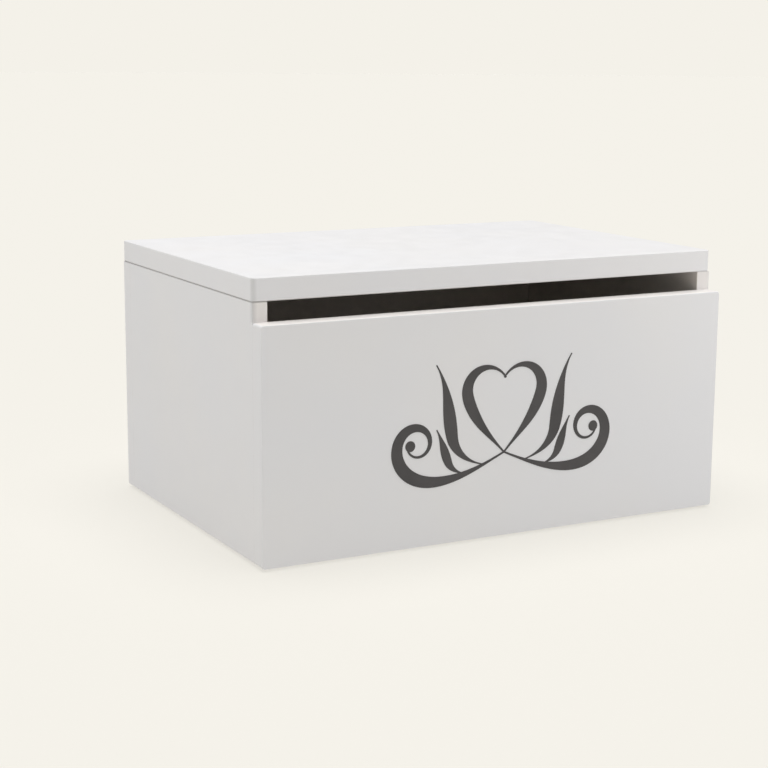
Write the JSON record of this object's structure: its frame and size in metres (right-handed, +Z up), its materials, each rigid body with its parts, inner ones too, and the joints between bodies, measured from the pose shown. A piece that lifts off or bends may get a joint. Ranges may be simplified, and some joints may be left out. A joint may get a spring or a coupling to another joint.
{
  "type": "card box",
  "caption": "White painted wooden box for collecting cards, with a full-width posting slot at the top of its front and a flat lid hinged at the back.",
  "frame": {"origin": "on the table under the middle of the box, at the underside of the felt pads", "axes": "+Z up, front face towards -Y, +X to the right seen from the front"},
  "size_m": [0.33, 0.2321, 0.1725],
  "materials": {
    "white_paint": "satin white paint on fibreboard",
    "charcoal_vinyl": "satin charcoal vinyl",
    "nickel_hinge": "nickel-plated sheet steel",
    "zinc_screw": "bright zinc-plated steel",
    "steel_brad": "bright steel wire",
    "beech_dowel": "bare beech",
    "grey_felt": "pressed wool felt"
  },
  "bodies": {
    "box": {"front_panel": "white_paint", "back_panel": "white_paint", "left_side_panel": "white_paint", "right_side_panel": "white_paint", "base_panel": "white_paint", "front_motif": "charcoal_vinyl", "front_left_dowel_lower": "beech_dowel", "front_left_dowel_middle": "beech_dowel", "front_left_dowel_upper": "beech_dowel", "front_right_dowel_lower": "beech_dowel", "front_right_dowel_middle": "beech_dowel", "front_right_dowel_upper": "beech_dowel", "rear_left_dowel_lower": "beech_dowel", "rear_left_dowel_middle": "beech_dowel", "rear_left_dowel_upper": "beech_dowel", "rear_right_dowel_lower": "beech_dowel", "rear_right_dowel_middle": "beech_dowel", "rear_right_dowel_upper": "beech_dowel", "base_brad_1": "steel_brad", "base_brad_2": "steel_brad", "base_brad_3": "steel_brad", "base_brad_4": "steel_brad", "base_brad_5": "steel_brad", "base_brad_6": "steel_brad", "base_brad_7": "steel_brad", "base_brad_8": "steel_brad", "base_brad_9": "steel_brad", "base_brad_10": "steel_brad", "front_left_felt_pad": "grey_felt", "front_right_felt_pad": "grey_felt", "rear_left_felt_pad": "grey_felt", "rear_right_felt_pad": "grey_felt", "left_hinge_body_leaf": "nickel_hinge", "right_hinge_body_leaf": "nickel_hinge", "left_hinge_pin": "nickel_hinge", "right_hinge_pin": "nickel_hinge", "left_hinge_body_screw_outer": "zinc_screw", "left_hinge_body_screw_inner": "zinc_screw", "right_hinge_body_screw_outer": "zinc_screw", "right_hinge_body_screw_inner": "zinc_screw"},
    "lid": {"lid_panel": "white_paint", "left_hinge_lid_leaf": "nickel_hinge", "right_hinge_lid_leaf": "nickel_hinge", "left_hinge_lid_screw_outer": "zinc_screw", "left_hinge_lid_screw_inner": "zinc_screw", "right_hinge_lid_screw_outer": "zinc_screw", "right_hinge_lid_screw_inner": "zinc_screw"}
  },
  "joints": [
    {"name": "lid_hinge", "type": "hinge", "parent": "box", "child": "lid", "pos_m": [0, 0.114, 0.1585], "axis": [-1, 0, 0], "range_deg": [0, 180]}
  ]
}
